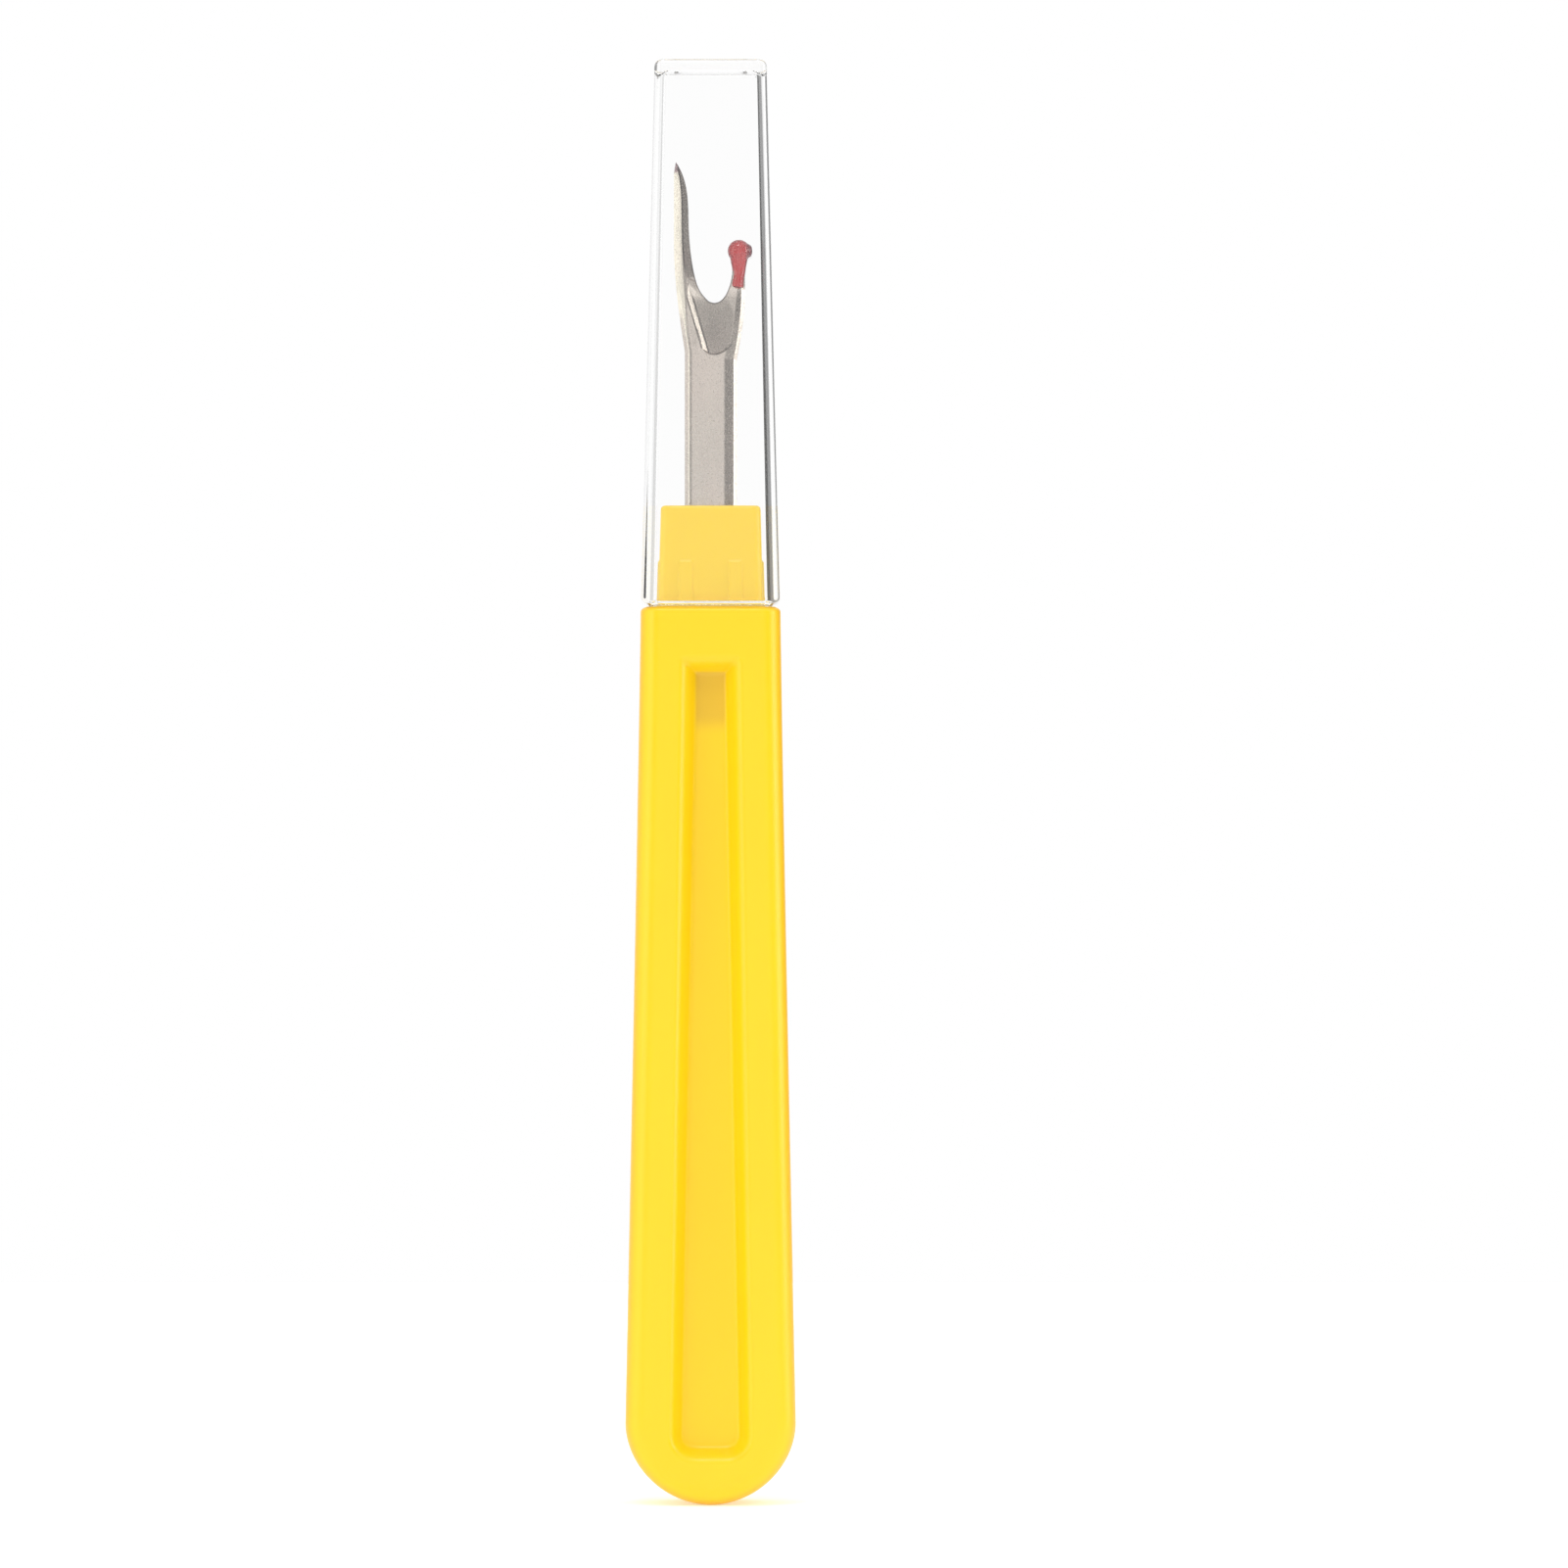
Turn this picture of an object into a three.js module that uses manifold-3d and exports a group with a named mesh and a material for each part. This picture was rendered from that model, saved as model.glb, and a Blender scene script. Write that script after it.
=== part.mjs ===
// Seam ripper with a slide-off cap, in millimetres: a moulded handle, a forged fork blade whose tang
// sits in the handle, a ball guard on the short prong, and a clear tapered cap.
// +Z runs from the rounded end of the handle to the tip of the blade, and the front looks along -Y.
// The origin is the lowest point of the handle's rounded end, on the centre line.
import * as THREE from "three";
import { mergeVertices } from "three/addons/utils/BufferGeometryUtils.js";
import Module from "manifold-3d";

const wasm = await Module();
wasm.setup();

// ---- Driving dimensions ----
const OVERALL_LENGTH = 132;
const HANDLE_LENGTH = 82; // rounded end to the shoulder that stops the cap
const NECK_LENGTH = 9.2; // shoulder to the top of the neck that the cap slides over
const HANDLE_WIDTH_END = 15.58; // at the widest point, just above the rounded end
const HANDLE_WIDTH_SHOULDER = 12.76;
const HANDLE_THICKNESS = 9;
const TIP_Z = 122.7; // tip of the long prong
const SHAFT_WIDTH = 4.7;
const SHAFT_THICKNESS = 1.9;
const CAP_SEAT_GAP = 0.05; // between the shoulder and the cap's mouth

// ---- Handle ----
const EDGE_RADIUS = 1.9; // rolled edge all round the front and back faces
const END_HEIGHT = 7.2; // height of the rounded end
const END_POWER = 1.88; // superellipse power of its outline, a little fuller than a point
const TAPER_POWER = 1.1; // the sides start parallel at the shoulder and flare towards the end
const SHOULDER_RADIUS = 0.7;

const NECK_HALF_WIDTH = { base: 4.78, top: 4.54 };
const NECK_HALF_DEPTH = { base: 3.0, top: 2.86 };
const NECK_CORNER = 0.8;
const NECK_TOP_RADIUS = 0.35;

// Friction ribs at the foot of the neck that grip the inside of the cap
const RIB_LENGTH = 4.2;
const RIB_HEIGHT = 0.15;
const RIB_WIDTH = 1.4;
const RIB_OFFSET = 2.2; // of the two ribs on each face from the centre line
const SIDE_RIB_WIDTH = 2.2;

// Finger recess in the front and the back face
const RECESS = {
  depth: 2.3,
  wallRun: 1.5,
  floorTop: 76.1,
  floorBottom: 5.1,
  floorHalfTop: 1.45,
  floorHalfBottom: 2.35,
  cornerTop: 0.35,
  cornerBottom: 1.5,
};

// ---- Blade ----
const TANG_DEPTH = 19.5; // length of the tang inside the handle, from the top of the neck
const TANG_CLEARANCE = 0.06;
const TANG_NOTCH = { radius: 0.55, z: 84.5 }; // one each side, which the plastic keys into
const SHAFT_EDGE_RUN = 0.85; // width of the rounding on each side of the shaft
const FORK_FOOT_Z = 104.9; // where the shaft starts to spread
const LONG_PRONG = { reach: 3.42, footZ: 105.5, spread: 10.5 };
const SHORT_PRONG = { reach: 3.12, footZ: 104.9, spread: 5.6, topZ: 111.25 };
const PRONG_HALF_THICKNESS = 0.66;
const POINT_Z = 117; // where the long prong starts to thin towards its tip
const TIP_HALF_THICKNESS = 0.18;
const TIP_CURL = { length: 1.4, inward: 0.22 }; // the outer side of the long prong curves in to its tip
// The cutting edge: down the long prong, round the throat, up the short prong
const THROAT_EDGE = [
  [-3.18, TIP_Z],
  [-2.66, 121.3],
  [-2.22, 120.1],
  [-2.06, 118.6],
  [-2.03, 116.6],
  [-1.77, 114.1],
  [-1.18, 111.4],
  [-0.35, 110.05],
  [0.35, 109.78],
  [1.0, 110.02],
  [1.42, 110.55],
  [1.7, 111.25],
];
// The thinned web between the prongs, whose rim climbs the inner side of both prongs
const WEB = {
  centreX: 0.1,
  halfWidth: 2.68,
  bottomZ: 105.15,
  rimZ: 113,
  power: 1.7, // superellipse power of the outline
  crowding: 1.6, // crowds the outline's points towards its tight bottom
  wallRun: 0.5,
  halfThickness: 0.32,
};
const STEM = { radius: 0.36, x: 2.575, topZ: 114.7 };

// ---- Ball guard ----
const BALL = { radius: 1.05, z: 114.54, neckAngle: -0.93 }; // the angle, in radians, where its neck begins
const BALL_NECK = { radius: 0.58, z: 112.45, flare: 0.75, footRadius: 0.66, footGap: 0.03 };
const GATE_NUB = { radius: 0.4, reach: 1.2 }; // moulding gate left on the side of the ball
const GUARD_CLEARANCE = 0.05;

// ---- Cap ----
const CAP_OUTER = { mouthHalfWidth: 6.35, topHalfWidth: 5.1, mouthHalfDepth: 4.42, topHalfDepth: 3.15 };
const CAP_INNER = { mouthHalfWidth: 5.12, topHalfWidth: 4.38, mouthHalfDepth: 3.27, topHalfDepth: 2.42 };
const CAP_CORNER = { outer: 1.7, inner: 1.0 };
const CAP_ROOF = 1.27;
const CAP_RIM = { run: 0.6, rise: 0.5 }; // rounded outer edge of the mouth
const CAP_TOP_RADIUS = { outer: 1.1, inner: 0.9 };
const CAP_GATE = { radius: 0.95, depth: 0.15 }; // shallow dimple where the cap was moulded

const lerp = THREE.MathUtils.lerp;
const clamp = THREE.MathUtils.clamp;
const QUARTER = Math.PI / 2;

// ---- Solid helpers ----

// A manifold-3d solid from a closed three.js geometry.
function solid(geometry) {
  const bare = geometry.clone();
  bare.deleteAttribute("normal");
  bare.deleteAttribute("uv");
  const merged = mergeVertices(bare, 1e-4);
  const corners = merged.index.array;
  const triVerts = [];
  for (let i = 0; i < corners.length; i += 3) {
    const [a, b, c] = corners.slice(i, i + 3);
    if (a !== b && b !== c && c !== a) triVerts.push(a, b, c);
  }
  const vertProperties = merged.attributes.position.array;
  return new wasm.Manifold(
    new wasm.Mesh({ numProp: 3, vertProperties, triVerts: new Uint32Array(triVerts) }),
  );
}

function mesh(name, manifold, material) {
  const made = manifold.getMesh();
  const geometry = new THREE.BufferGeometry();
  geometry.setAttribute("position", new THREE.BufferAttribute(made.vertProperties, 3));
  geometry.setIndex(new THREE.BufferAttribute(made.triVerts, 1));
  geometry.computeVertexNormals();
  const part = new THREE.Mesh(geometry, material);
  part.name = name;
  return part;
}

// A closed solid through convex loops of equal length. Each loop runs anticlockwise, seen from the last loop's side.
function loft(loops) {
  const count = loops[0].length;
  const last = (loops.length - 1) * count;
  const index = [];
  for (let start = 0; start < last; start += count) {
    for (let i = 0; i < count; i++) {
      const a = start + i;
      const b = start + ((i + 1) % count);
      index.push(a, b, b + count, a, b + count, a + count);
    }
  }
  for (let i = 1; i + 1 < count; i++) {
    index.push(0, i + 1, i, last, last + i, last + i + 1);
  }
  const geometry = new THREE.BufferGeometry().setFromPoints(loops.flat());
  geometry.setIndex(index);
  return solid(geometry);
}

// A level rectangle from left to right and half a depth each way, its corners quarter ellipses.
function section({ left, right, halfDepth, cornerX, cornerY = cornerX, z }, segments = 6) {
  const points = [];
  const corners = [
    [right - cornerX, halfDepth - cornerY, 0],
    [left + cornerX, halfDepth - cornerY, 1],
    [left + cornerX, cornerY - halfDepth, 2],
    [right - cornerX, cornerY - halfDepth, 3],
  ];
  for (const [x, y, turns] of corners) {
    for (let i = 0; i <= segments; i++) {
      const angle = (turns + i / segments) * QUARTER;
      points.push(new THREE.Vector3(x + cornerX * Math.cos(angle), y + cornerY * Math.sin(angle), z));
    }
  }
  return points;
}

function centredSection(halfWidth, halfDepth, corner, z, segments) {
  return section({ left: -halfWidth, right: halfWidth, halfDepth, cornerX: corner, z }, segments);
}

function box(size, centre) {
  return solid(new THREE.BoxGeometry(...size).translate(...centre));
}

// An upright cylinder between two heights.
function post(radius, x, bottom, top, segments = 24) {
  const height = top - bottom;
  const geometry = new THREE.CylinderGeometry(radius, radius, height, segments);
  return solid(geometry.rotateX(QUARTER).translate(x, 0, bottom + height / 2));
}

// ---- Handle ----

function handleHalfWidth(z) {
  const share = clamp((HANDLE_LENGTH - z) / (HANDLE_LENGTH - END_HEIGHT), 0, 1);
  return lerp(HANDLE_WIDTH_SHOULDER, HANDLE_WIDTH_END, share ** TAPER_POWER) / 2;
}

// One ring round the handle. It starts at a point on the right edge of the outline, rolls over the edge radius
// along the inward direction, crosses the flat faces and is the same on the left.
function handleRing(x, z, inwardX, inwardZ, inset = 0, segments = 6) {
  const radius = EDGE_RADIUS - inset;
  const flatY = HANDLE_THICKNESS / 2 - inset;
  const roll = [];
  for (let i = 0; i <= segments; i++) {
    const angle = (i / segments) * QUARTER;
    const reach = inset + radius * (1 - Math.cos(angle));
    const y = flatY - radius * (1 - Math.sin(angle));
    roll.push({ x: x + inwardX * reach, y, z: z + inwardZ * reach });
  }
  const back = [...roll].reverse();
  return [
    ...roll.map((p) => new THREE.Vector3(p.x, p.y, p.z)),
    ...back.map((p) => new THREE.Vector3(-p.x, p.y, p.z)),
    ...roll.map((p) => new THREE.Vector3(-p.x, -p.y, p.z)),
    ...back.map((p) => new THREE.Vector3(p.x, -p.y, p.z)),
  ];
}

function handleBody() {
  const rings = [];
  const endSteps = 16;
  for (let i = 0; i <= endSteps; i++) {
    const angle = (1 - i / endSteps) * QUARTER; // from the lowest point up to the side
    const across = Math.cos(angle) ** (2 / END_POWER);
    const down = Math.sin(angle) ** (2 / END_POWER);
    const halfEnd = HANDLE_WIDTH_END / 2;
    const inward = new THREE.Vector2(
      -(across ** (END_POWER - 1)) / halfEnd,
      down ** (END_POWER - 1) / END_HEIGHT,
    ).normalize();
    rings.push(handleRing(halfEnd * across, END_HEIGHT * (1 - down), inward.x, inward.y));
  }
  const sideSteps = 12;
  const sideTop = HANDLE_LENGTH - SHOULDER_RADIUS;
  for (let i = 1; i <= sideSteps; i++) {
    const z = lerp(END_HEIGHT, sideTop, i / sideSteps);
    rings.push(handleRing(handleHalfWidth(z), z, -1, 0));
  }
  const shoulderSteps = 4;
  for (let i = 1; i <= shoulderSteps; i++) {
    const angle = (i / shoulderSteps) * QUARTER;
    const inset = SHOULDER_RADIUS * (1 - Math.cos(angle));
    const z = sideTop + SHOULDER_RADIUS * Math.sin(angle);
    rings.push(handleRing(handleHalfWidth(sideTop), z, -1, 0, inset));
  }
  return loft(rings);
}

function neck() {
  const buried = 2; // into the handle body, so that the two join
  const top = HANDLE_LENGTH + NECK_LENGTH;
  const levels = [[HANDLE_LENGTH - buried, 0, 0], [HANDLE_LENGTH, 0, 0]];
  for (const angle of [0, 1 / 3, 2 / 3, 1].map((share) => share * QUARTER)) {
    const inset = NECK_TOP_RADIUS * (1 - Math.cos(angle));
    levels.push([top - NECK_TOP_RADIUS * (1 - Math.sin(angle)), 1, inset]);
  }
  return loft(
    levels.map(([z, share, inset]) =>
      centredSection(
        lerp(NECK_HALF_WIDTH.base, NECK_HALF_WIDTH.top, share) - inset,
        lerp(NECK_HALF_DEPTH.base, NECK_HALF_DEPTH.top, share) - inset,
        NECK_CORNER - inset,
        z,
      ),
    ),
  );
}

// The ribs run up from the shoulder and lean back into the tapered neck at their tops.
function neckRibs() {
  const ribs = [];
  const foot = HANDLE_LENGTH - 1;
  const top = HANDLE_LENGTH + RIB_LENGTH;
  const middle = (foot + top) / 2;
  const height = top - foot;
  const faceReach = NECK_HALF_DEPTH.base + RIB_HEIGHT;
  for (const x of [-RIB_OFFSET, RIB_OFFSET]) {
    ribs.push(box([RIB_WIDTH, 2 * faceReach, height], [x, 0, middle]));
  }
  const sideReach = NECK_HALF_WIDTH.base + RIB_HEIGHT;
  ribs.push(box([2 * sideReach, SIDE_RIB_WIDTH, height], [0, 0, middle]));
  return ribs;
}

// The recess outline grown outwards from the floor's edge: a tall convex loop, wider at the foot.
function recessLoop(grow, y) {
  const { floorTop, floorBottom, floorHalfTop, floorHalfBottom, cornerTop, cornerBottom } = RECESS;
  const top = floorTop + grow;
  const bottom = floorBottom - grow;
  const corners = [
    [floorHalfBottom + grow, bottom, cornerBottom + grow, 3],
    [floorHalfTop + grow, top, cornerTop + grow, 0],
    [-floorHalfTop - grow, top, cornerTop + grow, 1],
    [-floorHalfBottom - grow, bottom, cornerBottom + grow, 2],
  ];
  const points = [];
  for (const [x, z, radius, turns] of corners) {
    const centreX = x - Math.sign(x) * radius;
    const centreZ = z + (z === bottom ? radius : -radius);
    for (let i = 0; i <= 7; i++) {
      const angle = (turns + i / 7) * QUARTER;
      const x = centreX + radius * Math.cos(angle);
      points.push(new THREE.Vector3(x, y, centreZ + radius * Math.sin(angle)));
    }
  }
  return points;
}

// Cutter for one face: an S-shaped wall from the rim to the floor, side -1 for the front and 1 for the back.
function recessCutter(side) {
  const face = HANDLE_THICKNESS / 2;
  const steps = 7;
  const loops = [recessLoop(RECESS.wallRun, side * (face + 1))];
  for (let i = 1; i <= steps; i++) {
    const share = i / steps;
    const depth = (RECESS.depth * (1 - Math.cos(Math.PI * share))) / 2;
    loops.push(recessLoop(RECESS.wallRun * (1 - share), side * (face - depth)));
  }
  return loft(side > 0 ? loops : loops.map((loop) => [...loop].reverse()));
}

// ---- Blade ----

// The shaft's section, grown on all sides by a clearance.
function shaftSection(z, grow = 0) {
  return section({
    left: -SHAFT_WIDTH / 2 - grow,
    right: SHAFT_WIDTH / 2 + grow,
    halfDepth: SHAFT_THICKNESS / 2 + grow,
    cornerX: SHAFT_EDGE_RUN + grow,
    cornerY: SHAFT_THICKNESS / 2 + grow,
    z,
  });
}

const TANG_END_Z = HANDLE_LENGTH + NECK_LENGTH - TANG_DEPTH;

function tangPocket() {
  return loft([
    shaftSection(TANG_END_Z - TANG_CLEARANCE, TANG_CLEARANCE),
    shaftSection(HANDLE_LENGTH + NECK_LENGTH + 1, TANG_CLEARANCE),
  ]);
}

function prongReach({ reach, footZ, spread }, z) {
  const share = clamp((z - footZ) / spread, 0, 1);
  return lerp(SHAFT_WIDTH / 2, reach, Math.sin(share * QUARTER));
}

function bladeHalfThickness(z) {
  const full = SHAFT_THICKNESS / 2;
  const thinned = clamp((z - FORK_FOOT_Z) / (WEB.rimZ - FORK_FOOT_Z), 0, 1);
  const prong = lerp(full, PRONG_HALF_THICKNESS, thinned);
  const beyond = clamp((z - POINT_Z) / (TIP_Z - POINT_Z), 0, 1);
  return lerp(TIP_HALF_THICKNESS, prong, Math.sqrt(1 - beyond ** 2));
}

// The fork before its throat is cut out: the shaft, spreading and then thinning towards the tip.
function forkBlank() {
  const loops = [shaftSection(TANG_END_Z), shaftSection(FORK_FOOT_Z)];
  const steps = 22;
  for (let i = 1; i <= steps; i++) {
    const z = lerp(FORK_FOOT_Z, TIP_Z, i / steps);
    const curl = clamp((z - TIP_Z) / TIP_CURL.length + 1, 0, 1);
    const halfDepth = bladeHalfThickness(z);
    loops.push(
      section({
        left: -prongReach(LONG_PRONG, z) + TIP_CURL.inward * curl ** 2,
        right: prongReach(SHORT_PRONG, z),
        halfDepth,
        cornerX: SHAFT_EDGE_RUN,
        cornerY: halfDepth,
        z,
      }),
    );
  }
  return loft(loops);
}

// Everything between and above the prongs, cut straight through.
function throatCutter() {
  const edge = new THREE.SplineCurve(THROAT_EDGE.map(([x, z]) => new THREE.Vector2(x, z)));
  const shape = new THREE.Shape(edge.getSpacedPoints(44));
  const clear = 5;
  shape.lineTo(clear, SHORT_PRONG.topZ);
  shape.lineTo(clear, TIP_Z + clear);
  shape.lineTo(-clear, TIP_Z + clear);
  shape.lineTo(-clear, TIP_Z);
  const depth = 2 * SHAFT_THICKNESS;
  const geometry = new THREE.ExtrudeGeometry(shape, { depth, bevelEnabled: false });
  return solid(geometry.rotateX(QUARTER).translate(0, depth / 2, 0));
}

// The web outline drawn in by an inset, from the top left down round the bottom and up the right side.
function webLoop(inset, y) {
  const halfWidth = WEB.halfWidth - inset;
  const bottom = WEB.bottomZ + inset;
  const height = WEB.rimZ - bottom;
  const right = [];
  const steps = 14;
  for (let i = 0; i <= steps; i++) {
    const down = 1 - (i / steps) ** WEB.crowding;
    const across = Math.sqrt(1 - down ** WEB.power);
    right.push([halfWidth * across, WEB.rimZ - height * down]);
  }
  right.push([halfWidth, TIP_Z + 2]);
  const left = right
    .slice(1)
    .reverse()
    .map(([x, z]) => [-x, z]);
  return [...left, ...right].map(([x, z]) => new THREE.Vector3(WEB.centreX + x, y, z));
}

// Cutter that thins one face of the web, with a sloping wall.
function webCutter(side) {
  const above = webLoop(-WEB.wallRun, side * (SHAFT_THICKNESS / 2 + WEB.wallRun));
  const floor = webLoop(WEB.wallRun, side * WEB.halfThickness);
  return loft(side < 0 ? [above.reverse(), floor.reverse()] : [above, floor]);
}

function tangNotches() {
  const { radius, z } = TANG_NOTCH;
  return [-1, 1].map((side) => {
    const geometry = new THREE.CylinderGeometry(radius, radius, 2 * SHAFT_THICKNESS, 20);
    return solid(geometry.translate((side * SHAFT_WIDTH) / 2, 0, z));
  });
}

function forkBlade() {
  const cutters = [throatCutter(), webCutter(-1), webCutter(1), ...tangNotches()];
  const fork = cutters.reduce((left, cutter) => left.subtract(cutter), forkBlank());
  return fork.add(post(STEM.radius, STEM.x, SHORT_PRONG.topZ - 0.6, STEM.topZ));
}

// ---- Ball guard ----

function ballGuard() {
  const foot = SHORT_PRONG.topZ + BALL_NECK.footGap;
  const join = {
    x: BALL.radius * Math.cos(BALL.neckAngle),
    z: BALL.z + BALL.radius * Math.sin(BALL.neckAngle),
  };
  const waist = { x: BALL_NECK.radius, z: BALL_NECK.z };
  const profile = new THREE.Path();
  profile.moveTo(0, foot);
  profile.lineTo(BALL_NECK.footRadius, foot);
  profile.quadraticCurveTo(waist.x, lerp(foot, waist.z, 0.4), waist.x, waist.z);
  profile.quadraticCurveTo(waist.x, waist.z + BALL_NECK.flare, join.x, join.z);
  profile.absarc(0, BALL.z, BALL.radius, BALL.neckAngle, QUARTER, false);
  const points = profile.getPoints(9);
  points[points.length - 1].x = 0; // the arc's last point, exactly on the axis
  const turned = new THREE.LatheGeometry(points, 28);
  const ball = solid(turned.rotateX(QUARTER).translate(STEM.x, 0, 0));
  const nubLength = GATE_NUB.reach - BALL.radius / 2;
  const nub = new THREE.CylinderGeometry(GATE_NUB.radius, GATE_NUB.radius, nubLength, 16);
  nub.rotateZ(QUARTER).translate(STEM.x + GATE_NUB.reach - nubLength / 2, 0, BALL.z);
  const bore = post(STEM.radius + GUARD_CLEARANCE, STEM.x, foot - 1, STEM.topZ + GUARD_CLEARANCE);
  return ball.add(solid(nub)).subtract(bore);
}

// ---- Cap ----

// A tapered block between two heights. Its bottom edge is rounded by a rise and run, and its top edge by a radius.
function taperedBlock(size, corner, bottom, top, rim, topRadius) {
  const levels = [];
  const steps = 5;
  for (let i = 0; i <= steps; i++) {
    const angle = (i / steps) * QUARTER;
    levels.push([bottom + rim.rise * (1 - Math.cos(angle)), rim.run * (1 - Math.sin(angle))]);
  }
  for (let i = 0; i <= steps; i++) {
    const angle = (i / steps) * QUARTER;
    levels.push([top - topRadius * (1 - Math.sin(angle)), topRadius * (1 - Math.cos(angle))]);
  }
  return loft(
    levels.map(([z, inset]) => {
      const share = (z - bottom) / (top - bottom);
      return centredSection(
        lerp(size.mouthHalfWidth, size.topHalfWidth, share) - inset,
        lerp(size.mouthHalfDepth, size.topHalfDepth, share) - inset,
        corner - Math.min(inset, corner * 0.9),
        z,
        7,
      );
    }),
  );
}

function clearCap() {
  const mouth = HANDLE_LENGTH + CAP_SEAT_GAP;
  const shell = taperedBlock(
    CAP_OUTER,
    CAP_CORNER.outer,
    mouth,
    OVERALL_LENGTH,
    CAP_RIM,
    CAP_TOP_RADIUS.outer,
  );
  const straightMouth = { run: 0, rise: 0.2 };
  const cavityBottom = mouth - 0.5;
  const cavity = taperedBlock(
    CAP_INNER,
    CAP_CORNER.inner,
    cavityBottom,
    OVERALL_LENGTH - CAP_ROOF,
    straightMouth,
    CAP_TOP_RADIUS.inner,
  );
  const dimple = post(CAP_GATE.radius, 0, OVERALL_LENGTH - CAP_GATE.depth, OVERALL_LENGTH + 1);
  return shell.subtract(cavity).subtract(dimple);
}

// ---- Assembly ----

const yellowPlastic = new THREE.MeshStandardMaterial({ color: 0xfbdc3a, roughness: 0.3, metalness: 0 });
const satinSteel = new THREE.MeshStandardMaterial({ color: 0xb9b1a8, roughness: 0.38, metalness: 1 });
const redPlastic = new THREE.MeshStandardMaterial({ color: 0xc8484c, roughness: 0.28, metalness: 0 });
const clearPlastic = new THREE.MeshStandardMaterial({
  color: 0xf2f5f8,
  roughness: 0.05,
  metalness: 0,
  transparent: true,
  opacity: 0.25,
});

function handle() {
  const joined = [neck(), ...neckRibs()].reduce((whole, piece) => whole.add(piece), handleBody());
  const cuts = [recessCutter(-1), recessCutter(1), tangPocket()];
  return cuts.reduce((whole, cut) => whole.subtract(cut), joined);
}

const seamRipper = new THREE.Group();
seamRipper.add(mesh("handle", handle(), yellowPlastic));
seamRipper.add(mesh("fork_blade", forkBlade(), satinSteel));
seamRipper.add(mesh("ball_guard", ballGuard(), redPlastic));
seamRipper.add(mesh("clear_cap", clearCap(), clearPlastic));

export default seamRipper;
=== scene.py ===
"""Looks for the capped seam ripper: fine meshes, materials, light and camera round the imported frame."""
import math

import bmesh
import bpy
import numpy as np
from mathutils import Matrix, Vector


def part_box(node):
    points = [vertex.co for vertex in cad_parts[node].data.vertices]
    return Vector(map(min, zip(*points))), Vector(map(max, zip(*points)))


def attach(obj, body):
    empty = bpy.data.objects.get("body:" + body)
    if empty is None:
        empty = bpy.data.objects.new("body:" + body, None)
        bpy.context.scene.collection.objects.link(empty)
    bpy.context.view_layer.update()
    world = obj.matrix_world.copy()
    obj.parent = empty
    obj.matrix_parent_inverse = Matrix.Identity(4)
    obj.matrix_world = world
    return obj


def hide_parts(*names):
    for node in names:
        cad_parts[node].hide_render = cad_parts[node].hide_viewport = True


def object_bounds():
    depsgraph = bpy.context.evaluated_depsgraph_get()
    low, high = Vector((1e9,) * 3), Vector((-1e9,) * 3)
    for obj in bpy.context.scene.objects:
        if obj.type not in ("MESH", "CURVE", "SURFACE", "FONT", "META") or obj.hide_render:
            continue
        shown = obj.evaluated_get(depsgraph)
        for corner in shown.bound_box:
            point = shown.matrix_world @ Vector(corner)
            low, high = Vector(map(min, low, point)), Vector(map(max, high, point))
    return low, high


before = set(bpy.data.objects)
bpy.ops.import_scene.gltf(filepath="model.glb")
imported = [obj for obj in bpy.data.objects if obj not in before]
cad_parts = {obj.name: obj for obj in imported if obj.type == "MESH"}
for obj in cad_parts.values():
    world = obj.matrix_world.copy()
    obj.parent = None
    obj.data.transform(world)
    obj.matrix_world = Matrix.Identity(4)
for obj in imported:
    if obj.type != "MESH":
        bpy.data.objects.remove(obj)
cad_low, cad_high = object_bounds()

# Lengths are in millimetres until a mesh is made. X runs across, Y from front to back and Z upwards.
MM = 0.001


def box_mm(node):
    low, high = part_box(node)
    return Vector(low) / MM, Vector(high) / MM


HANDLE_LOW, HANDLE_HIGH = box_mm("handle")
BLADE_LOW, BLADE_HIGH = box_mm("fork_blade")
BALL_LOW, BALL_HIGH = box_mm("ball_guard")
CAP_LOW, CAP_HIGH = box_mm("clear_cap")

# ---- Handle ----
SHOULDER_Z = CAP_LOW.z - 0.05
NECK_TOP_Z = HANDLE_HIGH.z
HALF_THICKNESS = HANDLE_HIGH.y
END_HALF_WIDTH = HANDLE_HIGH.x
SHOULDER_HALF_WIDTH = 6.38
TAPER_POWER = 1.12
END_HEIGHT = 7.5
END_POWER = 1.93
EDGE_ROLL = 1.9
SHOULDER_EDGE = {"run": 0.85, "rise": 0.5}
RECESS = {
    "depth": 1.7,
    "floor_top": 76.0,
    "floor_bottom": 5.2,
    "half_top": 1.42,
    "half_bottom": 2.72,
    "run_top": 1.55,
    "run_bottom": 1.25,
    "corner_top": 0.1,
    "corner_bottom": 1.3,
    "wall_power": 1.8,
    "foot_radius": 0.14,
}
NECK = {
    "half_base": 4.78,
    "half_top": 4.54,
    "depth_base": 3.0,
    "depth_top": 2.86,
    "corner": 0.8,
    "edge": 0.35,
    "fillet": 0.18,
}
RIB = {"height": 0.15, "half": 0.68, "x": 2.25, "side_half": 1.1, "top": 86.3, "soft": 0.16}

# ---- Blade ----
SHAFT_HALF = 2.37
SHAFT_HALF_THICKNESS = BLADE_HIGH.y
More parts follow.
